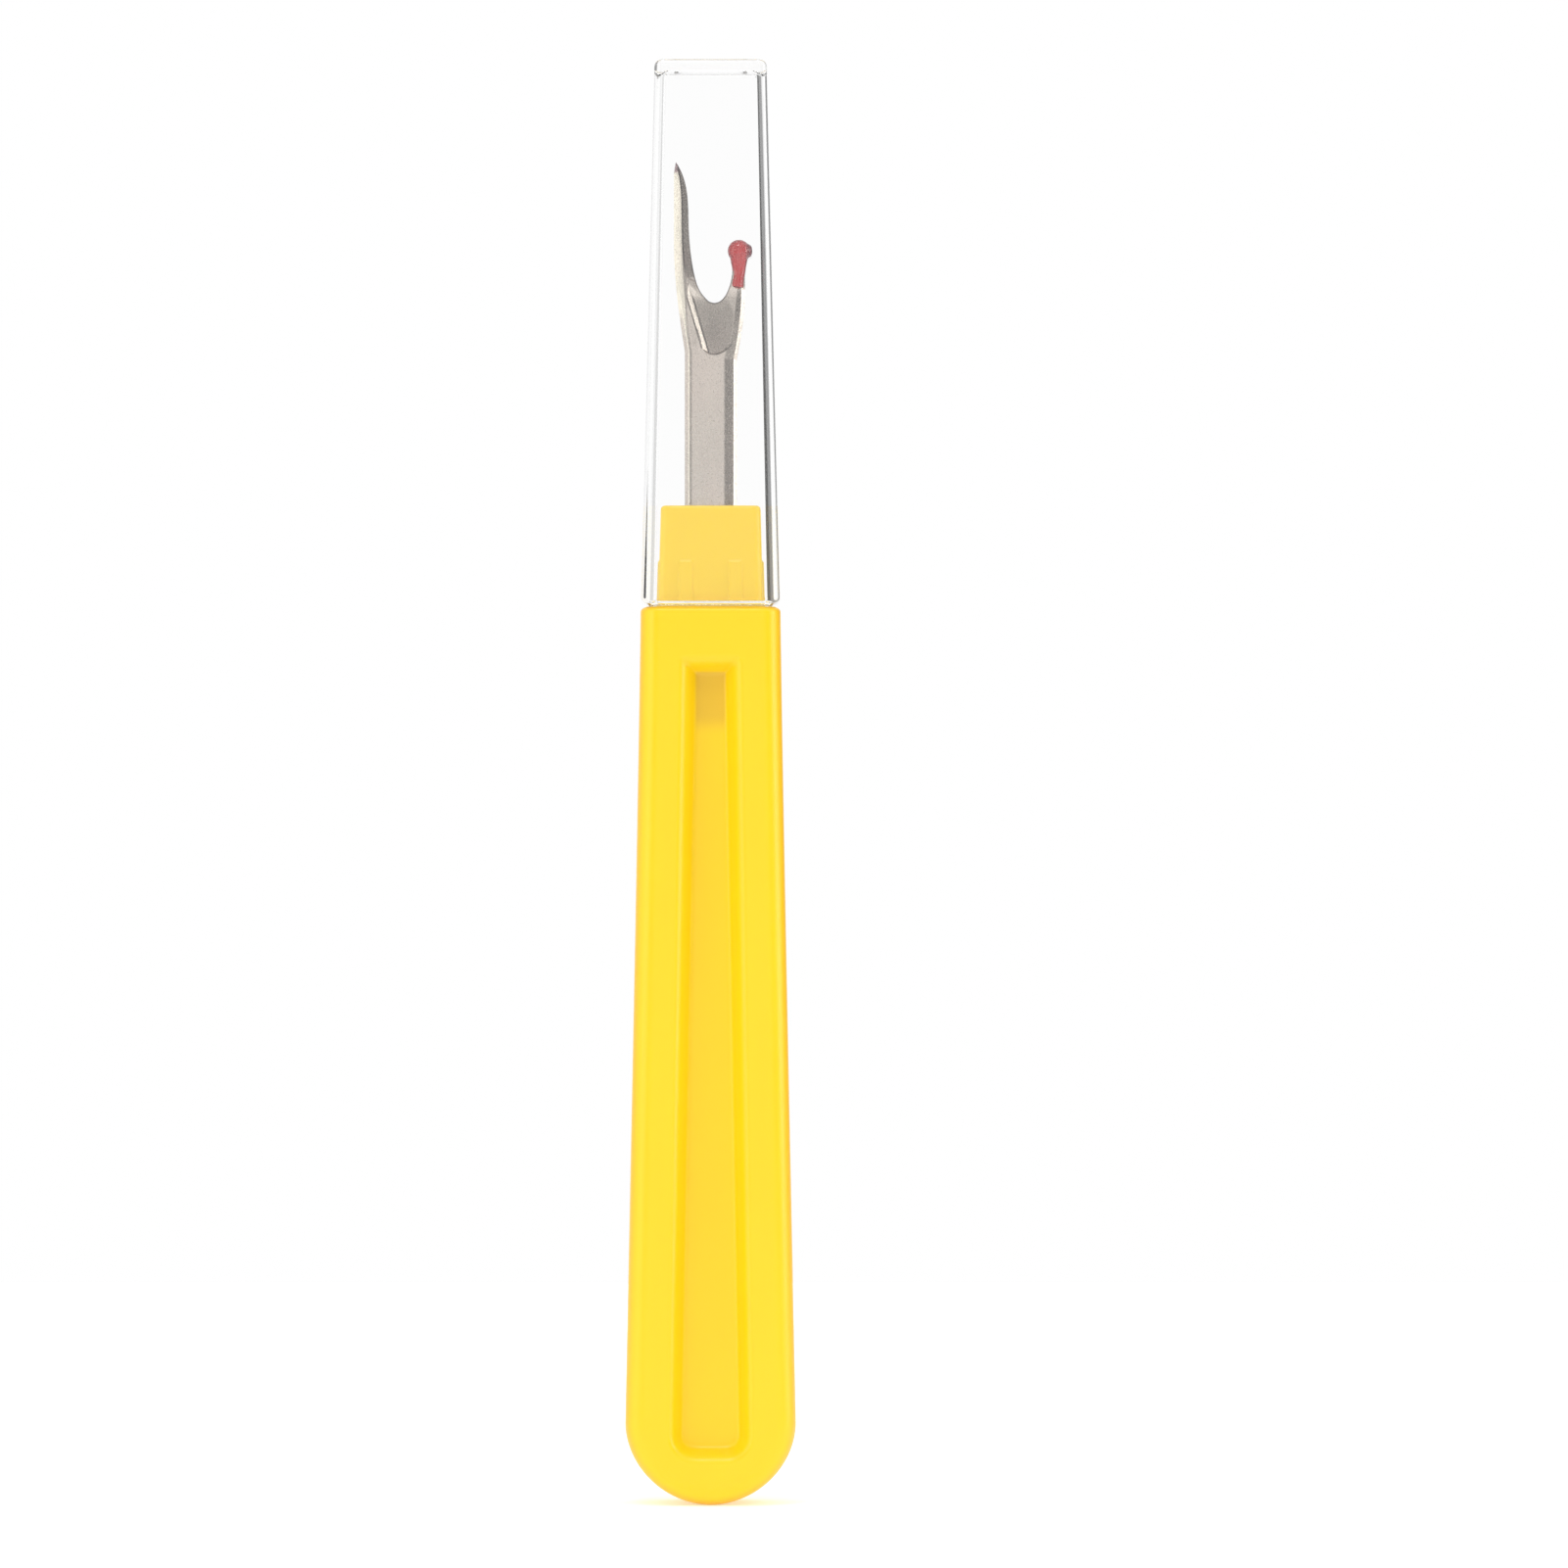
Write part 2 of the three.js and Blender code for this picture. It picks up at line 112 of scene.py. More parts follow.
# The width, slope and rounding of each flat along the shaft's edges.
SHAFT_CHAMFERS = {
    "left": [(0.66, 0.27, 0.02), (0.36, 0.73, 0.03)],
    "right": [(1.17, 0.46, 0.12), (0.26, 0.55, 0.03)],
}
POCKET_GAP = 0.06
POCKET_ROLL = 0.3
FORK_FOOT_Z = 104.6
LONG_PRONG = {"reach": 3.37, "foot": 105.3, "spread": 10.0, "slant": 0.17}
SHORT_PRONG = {"reach": 3.12, "foot": 104.6, "spread": 6.2, "slant": 0}
TANG_NOTCH = {"z": 84.5, "radius": 0.55}
PRONG_TOP_THICKNESS = 0.78
# Ground faces: half thickness at the outer edge, how fast it grows inwards, and where the face fades in.
LONG_GRIND = {"edge": 0.22, "slope": 0.52, "fade": (105.5, 111.5)}
LONG_LEAN = {"slope": 0.26, "from_edge": 0.7, "turn": 0.03, "fade": (104.2, 106.6), "inner": (-1.3, 0.1)}
LONG_POINT = {"start": 120.5, "past_tip": 0.1}
SHORT_GRIND = {"edge": 0.32, "slope": 0.79, "ridge": 0.33, "ridge_half": 0.58, "inner_slope": 0.51}
SHORT_GRIND_FADE = (105.6, 108.4)
SHORT_TAPER = {"share": 0.6, "fade": (110.4, 111.7)}
THROAT_HOLLOW = {"foot": 1.2, "top": 0.29, "slope": 0.5, "fade": (109.9, 112.4)}
# The pressed web under the throat: its slanted left side, its curved foot and its leaning floor.
WEB_SIDE = {"x": -0.28, "z": 105.5, "slant": 0.29, "cosine": 0.96, "bevel_slope": 0.96, "turn": 0.014}
WEB_FOOT = {"z": 105.15, "x": 0.3, "curve": 0.35, "slope": 4.0, "turn": 0.012}
WEB_FLOOR = {"half": 0.18, "slope": 0.16, "left_x": -2, "width": 4.3}
WEB_TOP = {"z": 110.7, "slope": 0.5, "turn": 0.5}
GULLET = (0.36, 109.77)
THROAT_LEFT = [
    GULLET,
    (-0.13, 109.9),
    (-0.53, 110.27),
    (-1.01, 110.93),
    (-1.39, 111.9),
    (-1.71, 113.4),
    (-1.92, 115.1),
    (-2.03, 116.8),
    (-2.07, 118.5),
    (-2.17, 119.8),
    (-2.38, 120.9),
    (-2.72, 121.85),
    (-3.18, BLADE_HIGH.z),
]
THROAT_RIGHT = [GULLET, (0.87, 109.94), (1.31, 110.4), (1.62, 111.03), (1.85, 111.8), (2.0, 112.7)]

# ---- Ball guard ----
BALL_CENTRE_X = BALL_LOW.x + BALL_HIGH.y
BALL_RADIUS = 1.03
BALL_TOP_Z = BALL_HIGH.z
BALL_FOOT_Z = BALL_LOW.z
BALL_JOIN_DEGREES = -38
BALL_FOOT = {"depth": 0.25, "lift": 0.09, "lean": 0.15}
GATE_STUB = {"height": 0.2, "fade": (0.45, 0.72)}

# ---- Cap ----
CAP_MOUTH_HALF = CAP_HIGH.x
CAP_TOP_HALF = 5.12
CAP_MOUTH_HALF_DEPTH = CAP_HIGH.y
CAP_TOP_HALF_DEPTH = 3.15
CAP_CORNER = {"mouth": 1.16, "top": 0.76, "least": 0.3}
CAP_CAVITY = {
    "mouth": 5.56,
    "top": 4.6,
    "mouth_depth": 3.25,
    "top_depth": 2.42,
    "corner": 1.58,
    "corner_turn": 45,
    "roof": 1.05,
}
CAP_RIM = {"run": 0.55, "rise": 0.75, "depth_share": 0.15}
CAP_LEAD_IN = {"run": 0.5, "side_share": 0.1, "corner": 0.4}
CAP_TOP_EDGE = {"outer": 0.75, "inner": 0.6, "inner_depth_share": 0.25}
# The dimple in the top, as depth and inset from the sides, from its middle outwards.
CAP_DIMPLE = [(0.12, 2.9), (0.12, 2.2), (0.1, 2.1), (0.02, 1.9), (0, 1.7)]

# ---- Colour zones, each as the limits it fades between ----
TANG_SHADOW = {"depth": (2.9, 3.3), "half_width": (1.2, 1.5), "foot": (70.2, 72.2), "top": (75.9, 76.2)}
# The recess walls and the body's top bound where the handle's painted edge shade falls.
RECESS_WALLS = {"depth": (4.3, 4.5), "half_width": (4.0, 4.6), "foot": (3.4, 4.0), "top": (77.6, 78.2)}
HANDLE_BODY_TOP = (82.0, 82.2)
TIP_TINT = (121.6, 121.9)
# Painted shade on the ball's right side, round the gate's stub, fades in across these places in millimetres.
BALL_RIGHT_SHADE = (3.1, 3.55)

# ---- Camera and floor: the lens in millimetres, places and sizes in metres ----
SENSOR_WIDTH = 36
LENS = 200
FRAME_PER_HEIGHT = 1.0877
CAMERA_SHIFT = Vector((0.0067, 0, -0.0002))
FLOOR_HALF = 0.35


def blend(low, high, share):
    return low + (high - low) * share


def band(value, centre, reach):
    """One at the centre, fading either side of it."""
    return np.exp(-(((value - centre) / reach) ** 2))


def smoothstep(low, high, value):
    share = np.clip((value - low) / (high - low), 0, 1)
    return share * share * (3 - 2 * share)


# ---- Meshes ----


def make_piece(name, vertices, faces, material, body, replaced, sharp_degrees=40):
    """A welded, outward-facing, smooth-shaded object that rides on a body and stands for one CAD node."""
    mesh = bpy.data.meshes.new(name)
    mesh.from_pydata((np.asarray(vertices) * MM).tolist(), [], faces)
    work = bmesh.new()
    work.from_mesh(mesh)
    bmesh.ops.remove_doubles(work, verts=work.verts, dist=2e-7)
    bmesh.ops.dissolve_degenerate(work, edges=work.edges, dist=1e-7)
    bmesh.ops.recalc_face_normals(work, faces=work.faces)
    work.to_mesh(mesh)
    work.free()
    mesh.shade_smooth()
    mesh.set_sharp_from_angle(angle=math.radians(sharp_degrees))
    piece = bpy.data.objects.new(name, mesh)
    bpy.context.scene.collection.objects.link(piece)
    mesh.materials.append(material)
    weighted = piece.modifiers.new("weighted_normals", "WEIGHTED_NORMAL")
    weighted.keep_sharp = True
    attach(piece, body)
    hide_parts(replaced)
    return piece


def loft(rings, close_start=True, close_end=True):
    """Vertices and faces of a skin through rings of equal length, its ends closed unless told otherwise."""
    rings = np.asarray(rings)
    count, size = rings.shape[:2]
    faces = []
    for start in range(0, (count - 1) * size, size):
        for i in range(size):
            after = (i + 1) % size
            faces.append((start + i, start + after, start + after + size, start + i + size))
    if close_start:
        faces.append(tuple(reversed(range(size))))
    if close_end:
        faces.append(tuple(range((count - 1) * size, count * size)))
    return rings.reshape(-1, 3), faces


def full_ring(quarter):
    """A level ring from a quarter that runs from the middle of the right side to the middle of the back."""
    mirror_x = quarter[::-1] * (-1, 1, 1)
    mirror_both = quarter * (-1, -1, 1)
    mirror_y = quarter[::-1] * (1, -1, 1)
    return np.concatenate([quarter, mirror_x[1:], mirror_both[1:], mirror_y[1:-1]])


# ---- Handle ----
SIDE_STEPS = 8
ROLL_STEPS = 12
FACE_STEPS = {"land": 8, "wall": 20, "floor": 7}


def quarter_ring(edge, inward, roll, flat_y, breaks):
    """A quarter ring: along the side, round the edge roll, then across the face, spaced by breaks."""
    edge_x, edge_z = edge
    roll_x, roll_y = roll
    side = np.linspace(0, flat_y - roll_y, SIDE_STEPS, endpoint=False)
    angle = np.linspace(0, math.pi / 2, ROLL_STEPS + 1)
    reach = roll_x * (1 - np.cos(angle))
    corner_x = edge_x + inward[0] * roll_x
    corner_z = edge_z + inward[1] * roll_x
    inner, outer = (min(value, share * corner_x) for value, share in zip(breaks, (0.5, 0.85)))
    across = np.concatenate([
        np.linspace(corner_x, outer, FACE_STEPS["land"], endpoint=False)[1:],
        np.linspace(outer, inner, FACE_STEPS["wall"], endpoint=False),
        np.linspace(inner, 0, FACE_STEPS["floor"]),
    ])
    x = np.concatenate([np.full(SIDE_STEPS, edge_x), edge_x + inward[0] * reach, across])
    y = np.concatenate([side, flat_y - roll_y * (1 - np.sin(angle)), np.full(len(across), flat_y)])
    side_z = np.full(SIDE_STEPS, edge_z)
    z = np.concatenate([side_z, edge_z + inward[1] * reach, np.full(len(across), corner_z)])
    return np.stack([x, y, z], axis=1)


def recess_share(z):
    return np.clip((RECESS["floor_top"] - z) / (RECESS["floor_top"] - RECESS["floor_bottom"]), 0, 1)


def recess_depth(x, z):
    """How far the finger recess sinks: level floor, flared walls, mitred top and rounded bottom."""
    share = recess_share(z)
    half = blend(RECESS["half_top"], RECESS["half_bottom"], share)
    run = blend(RECESS["run_top"], RECESS["run_bottom"], share)
    low_half = z < (RECESS["floor_top"] + RECESS["floor_bottom"]) / 2
    corner = np.where(low_half, RECESS["corner_bottom"], RECESS["corner_top"])
    power = np.where(low_half, 2, 8)
    out_x = np.abs(x) - half + corner
    out_z = np.where(low_half, RECESS["floor_bottom"] - z, z - RECESS["floor_top"]) + corner
    beyond = (np.maximum(out_x, 0) ** power + np.maximum(out_z, 0) ** power) ** (1 / power)
    outside = beyond + np.minimum(np.maximum(out_x, out_z), 0) - corner
    foot = RECESS["foot_radius"]
    softened = foot * np.logaddexp(0, outside / foot)
    wall = np.clip(1 - softened / run, 0, 1)
    return RECESS["depth"] * wall ** RECESS["wall_power"]


def body_quarter(edge, inward, inset=0.0):
    """A quarter ring of the handle body, its face sunk by the recess."""
    share = recess_share(edge[1])
    half = blend(RECESS["half_top"], RECESS["half_bottom"], share)
    run = blend(RECESS["run_top"], RECESS["run_bottom"], share)
    roll = EDGE_ROLL - inset
    breaks = (half - 3 * RECESS["foot_radius"], half + run)
    quarter = quarter_ring(edge, inward, (roll, roll), HALF_THICKNESS - inset, breaks)
    on_face = SIDE_STEPS + ROLL_STEPS
    quarter[on_face:, 1] -= recess_depth(quarter[on_face:, 0], quarter[on_face:, 2])
    return quarter


def side_half_width(z):
    """Half width of the handle between its rounded end and its shoulder."""
    share = (SHOULDER_Z - z) / (SHOULDER_Z - END_HEIGHT)
    return blend(SHOULDER_HALF_WIDTH, END_HALF_WIDTH, share**TAPER_POWER)


def end_rings():
    """The rounded end, from its lowest line up to the widest place."""
    rings = []
    for angle in np.linspace(math.pi / 2, 0, 72, endpoint=False):
        across = math.cos(angle) ** (2 / END_POWER)
        down = math.sin(angle) ** (2 / END_POWER)
        inward_x = -(across ** (END_POWER - 1)) / END_HALF_WIDTH
        inward = Vector((inward_x, down ** (END_POWER - 1) / END_HEIGHT))
        edge = (END_HALF_WIDTH * across, END_HEIGHT * (1 - down))
        rings.append(body_quarter(edge, inward.normalized()))
    return rings


def side_rings():
    """The long tapered stretch, with closer rings where the recess ends at the top."""
    top = SHOULDER_Z - SHOULDER_EDGE["rise"]
    dense_from = RECESS["floor_top"] - 0.6
    dense_to = RECESS["floor_top"] + RECESS["run_top"] + 0.3
    heights = np.concatenate([
        np.linspace(END_HEIGHT, dense_from, 120, endpoint=False),
        np.linspace(dense_from, dense_to, 26, endpoint=False),
        np.linspace(dense_to, top, 8),
    ])
    return [body_quarter((side_half_width(z), z), (-1, 0)) for z in heights]


def shoulder_rings():
    """The rounded turn in from the sides to the shoulder."""
    rings = []
    start = SHOULDER_Z - SHOULDER_EDGE["rise"]
    for angle in np.linspace(0, math.pi / 2, 9)[1:]:
        inset = SHOULDER_EDGE["run"] * (1 - math.cos(angle))
        z = start + SHOULDER_EDGE["rise"] * math.sin(angle)
        rings.append(body_quarter((side_half_width(start) - inset, z), (-1, 0), inset))
    return rings


def neck_quarter(z, inset=0.0):
    """A quarter ring of the neck with its grip ribs standing proud near the shoulder."""
    share = (z - SHOULDER_Z) / (NECK_TOP_Z - SHOULDER_Z)
    half = blend(NECK["half_base"], NECK["half_top"], share) - inset
    depth = blend(NECK["depth_base"], NECK["depth_top"], share) - inset
    corner = NECK["corner"] - inset
    breaks = (RIB["x"] - RIB["half"] - RIB["soft"], RIB["x"] + RIB["half"] + RIB["soft"])
    quarter = quarter_ring((half, z), (-1, 0), (corner, corner), depth, breaks)
    fade = RIB["height"] * (1 - smoothstep(RIB["top"] - 0.3, RIB["top"], z))
    on_face = slice(SIDE_STEPS + ROLL_STEPS, None)
    off_rib = np.abs(quarter[on_face, 0] - RIB["x"])
    quarter[on_face, 1] += fade * (1 - smoothstep(RIB["half"] - RIB["soft"], RIB["half"], off_rib))
    on_side = slice(0, SIDE_STEPS)
    side_y = quarter[on_side, 1]
    quarter[on_side, 0] += fade * (1 - smoothstep(RIB["side_half"] - 0.3, RIB["side_half"], side_y))
    return quarter


def neck_rings():
    """A small fillet on the shoulder, the neck with its ribs, and its rounded top edge."""
    fillet = NECK["fillet"]
    rings = [neck_quarter(SHOULDER_Z, -fillet)]
    rings.append(neck_quarter(SHOULDER_Z + 0.3 * fillet, -0.3 * fillet))
    heights = np.concatenate([
        np.linspace(SHOULDER_Z + fillet, RIB["top"] - 0.4, 8, endpoint=False),
        np.linspace(RIB["top"] - 0.4, RIB["top"] + 0.1, 8),
        np.linspace(RIB["top"] + 0.6, NECK_TOP_Z - NECK["edge"], 6),
    ])
    rings += [neck_quarter(z) for z in heights]
    for angle in np.linspace(0, math.pi / 2, 7)[1:]:
        inset = NECK["edge"] * (1 - math.cos(angle))
        rings.append(neck_quarter(NECK_TOP_Z - NECK["edge"] * (1 - math.sin(angle)), inset))
    return rings


def pocket_rings():
    """The slot in the neck that holds the blade's tang."""
    half = SHAFT_HALF + POCKET_GAP
    depth = SHAFT_HALF_THICKNESS + POCKET_GAP
    roll = (POCKET_ROLL + POCKET_GAP, POCKET_ROLL + POCKET_GAP)
    return [
        quarter_ring((half, z), (-1, 0), roll, depth, (0.7, 1.3))
        for z in (NECK_TOP_Z, NECK_TOP_Z - 0.2, BLADE_LOW.z - POCKET_GAP)
    ]


def make_handle(material):
    quarters = end_rings() + side_rings() + shoulder_rings() + neck_rings() + pocket_rings()
    vertices, faces = loft([full_ring(quarter) for quarter in quarters], close_start=False)
    return make_piece("handle_moulding", vertices, faces, material, "ripper", "handle", sharp_degrees=50)


# ---- Blade ----
HALF_COLUMNS = 84
CLOSE_ROWS_FROM = 103


def spline(points, count):
    """A smooth curve through the points, evenly spaced along its length."""
    points = np.array(points)
    ends = np.vstack([2 * points[0] - points[1], points, 2 * points[-1] - points[-2]])
    dense = []
    for a, b, c, d in zip(ends, ends[1:], ends[2:], ends[3:]):
        t = np.linspace(0, 1, 24, endpoint=False)[:, None]
        square = 2 * a - 5 * b + 4 * c - d
        cube = 3 * b - a - 3 * c + d
        dense.append(0.5 * (2 * b + (c - a) * t + square * t**2 + cube * t**3))
    dense = np.vstack(dense + [points[-1:]])
    length = np.concatenate([[0], np.cumsum(np.hypot(*np.diff(dense, axis=0).T))])
    at = np.linspace(0, length[-1], count)
    return np.stack([np.interp(at, length, dense[:, 0]), np.interp(at, length, dense[:, 1])], axis=1)


def throat_curve(side):
    """One side of the throat, from the gullet up."""
    return spline(THROAT_LEFT, 130) if side < 0 else spline(THROAT_RIGHT, 40)


def outer_half(prong, z):
    """Half width of the blade on one side: the straight shaft, its tang notch, then the spreading prong."""
    share = np.clip((z - prong["foot"]) / prong["spread"], 0, 1)
    reach = blend(SHAFT_HALF, prong["reach"], np.sin(share * math.pi / 2))
    notch = np.sqrt(np.maximum(TANG_NOTCH["radius"] ** 2 - (z - TANG_NOTCH["z"]) ** 2, 0))
    slant = prong["slant"] * np.maximum(z - (BLADE_HIGH.z - 1), 0)
    return reach - notch - slant


def distance_to(curve, x, z):
    """Distance from each place to the nearest point of a curve."""
    return np.min(np.hypot(x[..., None] - curve[:, 0], z[..., None] - curve[:, 1]), axis=-1)


def soft_ramp(distance, radius):
    """Zero below zero and the distance itself above it, with a rounded turn between."""
    return radius * np.logaddexp(0, distance / radius)


def web_offsets(x, z):
    """Distances to the left of the web's slanted side and below its curved foot."""
    side_x = WEB_SIDE["x"] - WEB_SIDE["slant"] * (z - WEB_SIDE["z"])
    foot_z = WEB_FOOT["z"] + WEB_FOOT["curve"] * (x - WEB_FOOT["x"]) ** 2
    return (side_x - x) * WEB_SIDE["cosine"], foot_z - z


def web_half_thickness(x, z):
    """The pressed web: a plane that leans left, with a bevel on its left and a step round its foot."""
    left_of, below = web_offsets(x, z)
    across = np.clip(x - WEB_FLOOR["left_x"], 0, WEB_FLOOR["width"])
    floor = WEB_FLOOR["half"] + WEB_FLOOR["slope"] * across
    rise = WEB_TOP["slope"] * soft_ramp(z - WEB_TOP["z"], WEB_TOP["turn"])
    bevel = WEB_SIDE["bevel_slope"] * soft_ramp(left_of, WEB_SIDE["turn"])
    step = WEB_FOOT["slope"] * soft_ramp(below, WEB_FOOT["turn"])
    return floor + rise + bevel + step


def long_prong_grind(x, z, from_edge):
    """Half thickness of the long prong's ground face, how far its foot leans in, and its point's taper."""
    ground = LONG_GRIND["edge"] + LONG_GRIND["slope"] * from_edge
    lean_here = smoothstep(*LONG_LEAN["fade"], z) * (1 - smoothstep(*LONG_LEAN["inner"], x))
    lean = LONG_LEAN["slope"] * soft_ramp(from_edge - LONG_LEAN["from_edge"], LONG_LEAN["turn"]) * lean_here
    start = LONG_POINT["start"]
    point = (z - start) / (BLADE_HIGH.z + LONG_POINT["past_tip"] - start)
    taper = np.where(z > start, np.sqrt(np.clip(1 - point**2, 0, 1)), 1)
    return ground, lean, taper


def short_prong_grind(z, from_edge):
    """Half thickness of the short prong's two ground faces, either side of a ridge, and its top's taper."""
    grind = SHORT_GRIND
    outer = grind["edge"] + grind["slope"] * from_edge
    inner = grind["ridge_half"] + grind["inner_slope"] * (from_edge - grind["ridge"])
    taper = blend(1, SHORT_TAPER["share"], smoothstep(*SHORT_TAPER["fade"], z))
    return np.minimum(outer, inner), taper


def blade_half_thickness(x, z, side, to_throat):
    """Half the blade's thickness: chamfered edges, ground prongs, a thin cutting edge and a pressed web."""
    prong = LONG_PRONG if side < 0 else SHORT_PRONG
    from_edge = np.maximum(outer_half(prong, z) - side * x, 0)
    full = SHAFT_HALF_THICKNESS * blend(1, PRONG_TOP_THICKNESS, smoothstep(FORK_FOOT_Z, 113, z))
    rolled = full
    for width, slope, turn in SHAFT_CHAMFERS["left" if side < 0 else "right"]:
        rolled = rolled - slope * soft_ramp(width - from_edge, turn)
    if side < 0:
        ground, lean, taper = long_prong_grind(x, z, from_edge)
        ground_here = smoothstep(*LONG_GRIND["fade"], z)
        upright = smoothstep(*THROAT_HOLLOW["fade"], z)
    else:
        ground, taper = short_prong_grind(z, from_edge)
        ground_here = smoothstep(*SHORT_GRIND_FADE, z)
        lean = 0
        upright = 0
    edge = blend(rolled, np.minimum(ground, full), ground_here)
    hollow = blend(THROAT_HOLLOW["foot"], THROAT_HOLLOW["top"], upright) + THROAT_HOLLOW["slope"] * to_throat
    return np.minimum.reduce([edge - lean, hollow, web_half_thickness(x, z)]) * taper


def blade_painted_shade(x, z):
    """How much painted shade darkens the steel: thin dark lines beside its edges and creases, fainter shade
    on its sunk faces.
    """
    to_throat = distance_to(np.vstack([throat_curve(-1), throat_curve(1)]), x, z)
    throat_line = band(to_throat, 0.0, 0.09) * (1 - smoothstep(113.0, 115.0, z))
    left_of, below = web_offsets(x, z)
    in_web = smoothstep(-0.02, 0.02, -below) * (1 - smoothstep(110.0, 110.6, z))
    bevel_lines = (band(left_of, -0.04, 0.05) + band(left_of, 0.5, 0.05)) * in_web
    foot_line = band(below, 0.07, 0.08) * smoothstep(-0.05, 0.1, -left_of) * (x < 1.9)
    web_shade = (0.23 + 0.14 * np.exp(-2 * (x - 0.3) ** 2 - 0.6 * (z - 107) ** 2)) * in_web * (left_of < 0)
    ground = LONG_GRIND["edge"] + LONG_GRIND["slope"] * (outer_half(LONG_PRONG, z) + x)
    past_ridge = ground - (THROAT_HOLLOW["top"] + THROAT_HOLLOW["slope"] * to_throat)
    on_prong = smoothstep(111.5, 113.5, z) * (x < 0)
    ridge_line = band(past_ridge, 0.04, 0.06) * on_prong
    inner_shade = blend(0.1, 0.34, smoothstep(112, 121, z)) * smoothstep(0, 0.05, past_ridge) * on_prong
    return np.clip(throat_line + bevel_lines + foot_line + web_shade + ridge_line + inner_shade, 0, 1)


def blade_rows(side, throat):
    """Row ends of one half of the blade: outer points, inner points, and the first row on the throat."""
    prong = LONG_PRONG if side < 0 else SHORT_PRONG
    droop = 1.5  # how much lower the outer end of a row is than its inner end, at most
    gullet_x, gullet_z = GULLET
    notch = TANG_NOTCH["z"] + np.linspace(-0.6, 0.6, 25)
    straight = np.concatenate([
        np.linspace(BLADE_LOW.z, notch[0], 12, endpoint=False),
        notch,
        np.linspace(notch[-1], CLOSE_ROWS_FROM, 18)[1:],
    ])
    centre_z = np.concatenate([straight, np.linspace(CLOSE_ROWS_FROM, gullet_z, 100)[1:-1]])
    rising = np.clip((centre_z - CLOSE_ROWS_FROM) / (gullet_z - CLOSE_ROWS_FROM), 0, 1)
    below_outer = centre_z - droop * rising**2
    below = np.stack([np.full(len(centre_z), gullet_x), centre_z], axis=1)
    share = np.linspace(0, 1, len(throat))
    fall = (1 - share) ** (9 if side < 0 else 2)
    above_outer = throat[:, 1] - droop * fall
    outer_z = np.concatenate([below_outer, above_outer])
    outer = np.stack([side * outer_half(prong, outer_z), outer_z], axis=1)
    inner = np.vstack([below, throat])
    if side < 0:
        outer[-1] = throat[-1]
    return outer, inner, len(below)


def blade_half(side, throat, first_index):
    """Front and back skins of one half of the blade, and the walls between them where it ends."""
    outer, inner, gullet_row = blade_rows(side, throat)
    columns = (0.5 - 0.5 * np.cos(np.linspace(0, math.pi, HALF_COLUMNS + 1)))[None, :, None]
    flat = outer[:, None, :] * (1 - columns) + inner[:, None, :] * columns
    x, z = flat[..., 0], flat[..., 1]
    thickness = blade_half_thickness(x, z, side, distance_to(throat, x, z))
    front = np.stack([x, -thickness, z], axis=-1)
    back = np.stack([x, thickness, z], axis=-1)
    rows, cols = x.shape
    front_id = first_index + np.arange(rows * cols).reshape(rows, cols)
    back_id = front_id + rows * cols
    faces = []
    for ids in (front_id, back_id):
        for r in range(rows - 1):
            for c in range(cols - 1):
                faces.append((ids[r, c], ids[r, c + 1], ids[r + 1, c + 1], ids[r + 1, c]))
    ends = [(front_id[:, 0], back_id[:, 0]), (front_id[0], back_id[0])]
    ends.append((front_id[gullet_row:, -1], back_id[gullet_row:, -1]))
    if side > 0:
        ends.append((front_id[-1], back_id[-1]))
    for near, far in ends:
        for i in range(len(near) - 1):
            faces.append((near[i], near[i + 1], far[i + 1], far[i]))
    vertices = np.concatenate([front.reshape(-1, 3), back.reshape(-1, 3)])
    return vertices, [tuple(int(i) for i in face) for face in faces]


def make_blade(material):
    """Both halves of the blade, welded down the gullet, with the painted shade stored at each vertex."""
    left, left_faces = blade_half(-1, throat_curve(-1), 0)
    right, right_faces = blade_half(1, throat_curve(1), len(left))
    piece = make_piece(
        "fork_blade_steel",
        np.concatenate([left, right]),
        left_faces + right_faces,
        material,
        "ripper",
        "fork_blade",
        sharp_degrees=30,
    )
    places = np.array([vertex.co for vertex in piece.data.vertices]) / MM
    painted_shade = piece.data.attributes.new("painted_shade", "FLOAT", "POINT")
    painted_shade.data.foreach_set("value", blade_painted_shade(places[:, 0], places[:, 2]).astype(np.float32))
    return piece


# ---- Ball guard ----
BALL_STEPS = 56


def ball_profile():
    """Radius against height, from the foot on the prong, in at the waist, then round the ball to its top."""
    centre_z = BALL_TOP_Z - BALL_RADIUS
    join = math.radians(BALL_JOIN_DEGREES)
    join_radius = BALL_RADIUS * math.cos(join)
    join_z = centre_z + BALL_RADIUS * math.sin(join)
    foot = [(0.62, BALL_FOOT_Z), (0.59, 111.9), (0.59, 112.4), (0.64, 113.0), (0.74, 113.5)]
    foot.append((join_radius, join_z))
    ball = [
        (BALL_RADIUS * math.cos(angle), centre_z + BALL_RADIUS * math.sin(angle))
        for angle in np.linspace(join, math.pi / 2, 34)[1:]
    ]
    return np.vstack([spline(foot, 22), ball])


